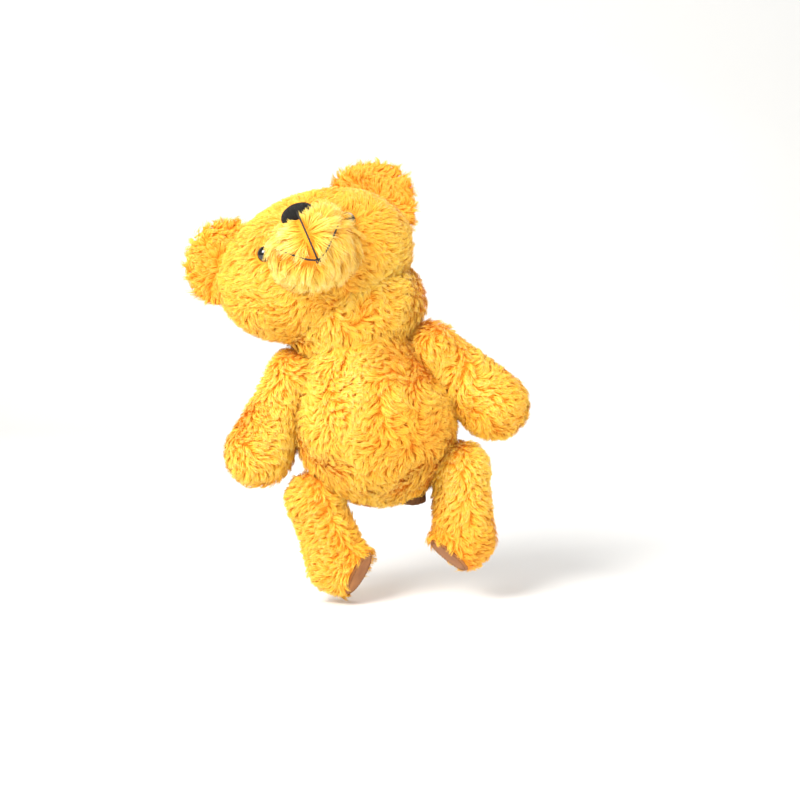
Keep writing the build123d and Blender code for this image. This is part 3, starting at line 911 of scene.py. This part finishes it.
# ---- nose ----------------------------------------------------------------------------------------
# A moulded oval nose, flocked black: short upright fibres like velvet over the plastic. A post
# behind it goes through the muzzle's cloth into a washer.
flock_fibres = 8000
flock_clear = 0.4 * mm     # none is hidden in the muzzle's cloth


def flock(tree):
    place = node(tree, "ShaderNodeTexCoord", {}, {}, "Object")
    fuzz = node(tree, "ShaderNodeTexNoise", {}, {"Vector": place, "Scale": 1500.0, "Detail": 2.0}, "Fac")
    stops = [(0.3, (0.004, 0.004, 0.004)), (0.75, (0.022, 0.019, 0.017))]
    colour = node(tree, "ShaderNodeValToRGB", {"stops": stops}, {"Fac": fuzz})
    bumps = node(tree, "ShaderNodeBump", {}, {"Height": fuzz, "Strength": 0.8, "Distance": 0.5 * mm})
    return {"Base Color": colour, "Normal": bumps}


def refinish(name, finish):
    """Gives a frame node another material."""
    for spot in nodes[name].material_slots:
        spot.link = "OBJECT"
        spot.material = finish


flocking = finish_of("nose_flock", flock, Roughness=0.95, Sheen_Weight=0.25)
refinish("nose", flocking)
roots, leans = scatter(nodes["nose"].data, flock_fibres, np.random.default_rng(71))
keep = outside(roots, muzzle_skin.data, clear=flock_clear)
roots, leans = roots[keep], leans[keep]
upward = np.tile(np.array(head_up), (len(roots), 1))
fuzz_black = finish_of("nose_fuzz", fibre_colours([(0.004, 0.004, 0.004)] * 4, [(0.02, 0.018, 0.016)] * 4),
                       Roughness=0.9)
fuzz = pile("nose_fuzz", roots, leans, upward, fuzz_black, length=1.3, width=0.5, swirl=0.5, curl=0.3,
            stand=1.4, gather=0.2, seed=73, lock=6, loose=0.15)
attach(fuzz, "head")

# ---- mouth ---------------------------------------------------------------------------------------
# One strand of thick black thread, stitched down from the nose and out into each cheek, with a
# knot where it forks. It lies in the pile's parting.
thread_radius = 0.52 * mm  # of each of the three plies
ply_out = 0.42 * mm        # from the thread's middle to a ply's
ply_turn = 0.55            # from one point of a ply to the next


def spun_black(tree):
    place = node(tree, "ShaderNodeTexCoord", {}, {}, "Object")
    lint = node(tree, "ShaderNodeTexNoise", {}, {"Vector": place, "Scale": 1200.0}, "Fac")
    stops = [(0.3, (0.004, 0.004, 0.004)), (0.7, (0.03, 0.025, 0.022))]
    return {"Base Color": node(tree, "ShaderNodeValToRGB", {"stops": stops}, {"Fac": lint})}


thread_black = finish_of("thread_black", spun_black, Roughness=0.6)


def strand(line, start):
    """One of the plies of a thread that twist round each other."""
    row = []
    for i, spot in enumerate(line):
        ahead = (line[min(i + 1, len(line) - 1)] - line[max(i - 1, 0)]).normalized()
        beside = ahead.orthogonal().normalized()
        other = ahead.cross(beside)
        angle = start + ply_turn * i
        row.append(spot + (beside * math.cos(angle) + other * math.sin(angle)) * ply_out)
    return row


def fine(line, count):
    """The same line with more points."""
    rows = np.array([spot[:] for spot in line])
    old = np.linspace(0, 1, len(rows))
    new = np.linspace(0, 1, count)
    return [Vector(p) for p in np.column_stack([np.interp(new, old, rows[:, k]) for k in range(3)])]


plies = []
for line in mouth_lines:
    for start in (0.0, 2.1, 4.2):
        plies.append(strand(fine(line, 60), start))
knot = []
for t in np.linspace(0, 6, 20):
    knot.append(on_muzzle(1.6 * math.cos(t), fork + 2.6 * math.sin(2 * t), 8.2 + 0.8 * math.sin(t)))
mouth = thread_of("mouth_thread", [*plies, knot], thread_radius, thread_black)
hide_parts("mouth_stitch")
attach(mouth, "head")

# ---- eyes, washers and elastic -------------------------------------------------------------------
# Glossy black domes on posts. White moulded washers lock the posts behind the cloth, and a black
# covered elastic runs in the cuff's hem.


def moulded(dark, light, rough):
    def make(tree):
        place = node(tree, "ShaderNodeTexCoord", {}, {}, "Object")
        mottle = node(tree, "ShaderNodeTexNoise", {}, {"Vector": place, "Scale": 400.0}, "Fac")
        colour = node(tree, "ShaderNodeValToRGB", {"stops": [(0.3, dark), (0.7, light)]}, {"Fac": mottle})
        return {"Base Color": colour, "Roughness": mottle * 0.04 + rough}
    return make


eye_gloss = moulded((0.002, 0.002, 0.002), (0.006, 0.005, 0.004), 0.04)
eye_black = finish_of("eye_black", eye_gloss, Coat_Weight=0.6)
washer_white = finish_of("washer_white", moulded((0.70, 0.70, 0.68), (0.78, 0.78, 0.76), 0.4))
elastic_black = finish_of("elastic_black", moulded((0.01, 0.01, 0.01), (0.03, 0.03, 0.03), 0.8))
for side in ("right", "left"):
    refinish(f"eye_{side}", eye_black)
    refinish(f"eye_washer_{side}", washer_white)
refinish("nose_washer", washer_white)
refinish("cuff_elastic", elastic_black)

# ---- floor, lights and camera --------------------------------------------------------------------
# A pale paper sweep a little below the feet, one large soft light high on the left, a weak fill on
# the right and a weaker one behind. The camera looks down slightly, level with the belly's top.
floor_gap = 8 * mm
floor_height = cad_box[0][2] - floor_gap
sweep_start = 1.6
sweep_radius = 0.6
sweep_steps = 12
sweep_points = []
for step in range(sweep_steps + 1):
    bend = step / sweep_steps * math.pi / 2
    sweep_points.append((sweep_start + sweep_radius * math.sin(bend), sweep_radius * (1 - math.cos(bend))))
outline = [(-3.0, 0.0), *sweep_points, (2.2, 3.0)]
corners = [(x, y, z + floor_height) for y, z in outline for x in (-4.0, 4.0)]
faces = [(2 * i, 2 * i + 1, 2 * i + 3, 2 * i + 2) for i in range(len(outline) - 1)]
floor = smooth_shaded(new_mesh("floor", corners, faces))
floor.data.materials.append(finish_of("pale_paper", Base_Color=(0.86, 0.86, 0.85, 1), Roughness=0.9))


def soft_light(name, place, aim, size, power, colour=(1, 1, 1)):
    lamp = bpy.data.lights.new(name, "AREA")
    lamp.size, lamp.energy, lamp.color = size, power, colour
    holder = bpy.data.objects.new(name, lamp)
    bpy.context.scene.collection.objects.link(holder)
    holder.location = place
    holder.rotation_euler = (Vector(aim) - Vector(place)).to_track_quat("-Z", "Y").to_euler()


bear_middle = Vector((-0.03, 0, 0.12))
soft_light("key", (-1.3, -1.5, 1.6), bear_middle, 1.2, 92, (1.0, 0.98, 0.95))
soft_light("fill", (1.6, -1.6, 0.6), bear_middle, 1.8, 22)
soft_light("back", (0.6, 1.4, 1.5), bear_middle, 1.0, 14)
world = bpy.data.worlds.new("studio")
bpy.context.scene.world = world
world.use_nodes = True
sky = world.node_tree.nodes["Background"]
sky.inputs["Color"].default_value = (1, 1, 1, 1)
sky.inputs["Strength"].default_value = 0.45

view_middle = Vector((-11, 0, 100)) * mm
view_distance = 1.6
view_width = 0.8
view_height = math.radians(5)
camera_data = bpy.data.cameras.new("camera")
camera_data.sensor_width = 36.0
camera_data.lens = camera_data.sensor_width * view_distance / view_width
camera = bpy.data.objects.new("camera", camera_data)
bpy.context.scene.collection.objects.link(camera)
camera.location = view_middle + Vector((0, -math.cos(view_height), math.sin(view_height))) * view_distance
camera.rotation_euler = (math.pi / 2 - view_height, 0, 0)
bpy.context.scene.camera = camera

bpy.context.scene.view_settings.view_transform = "Standard"
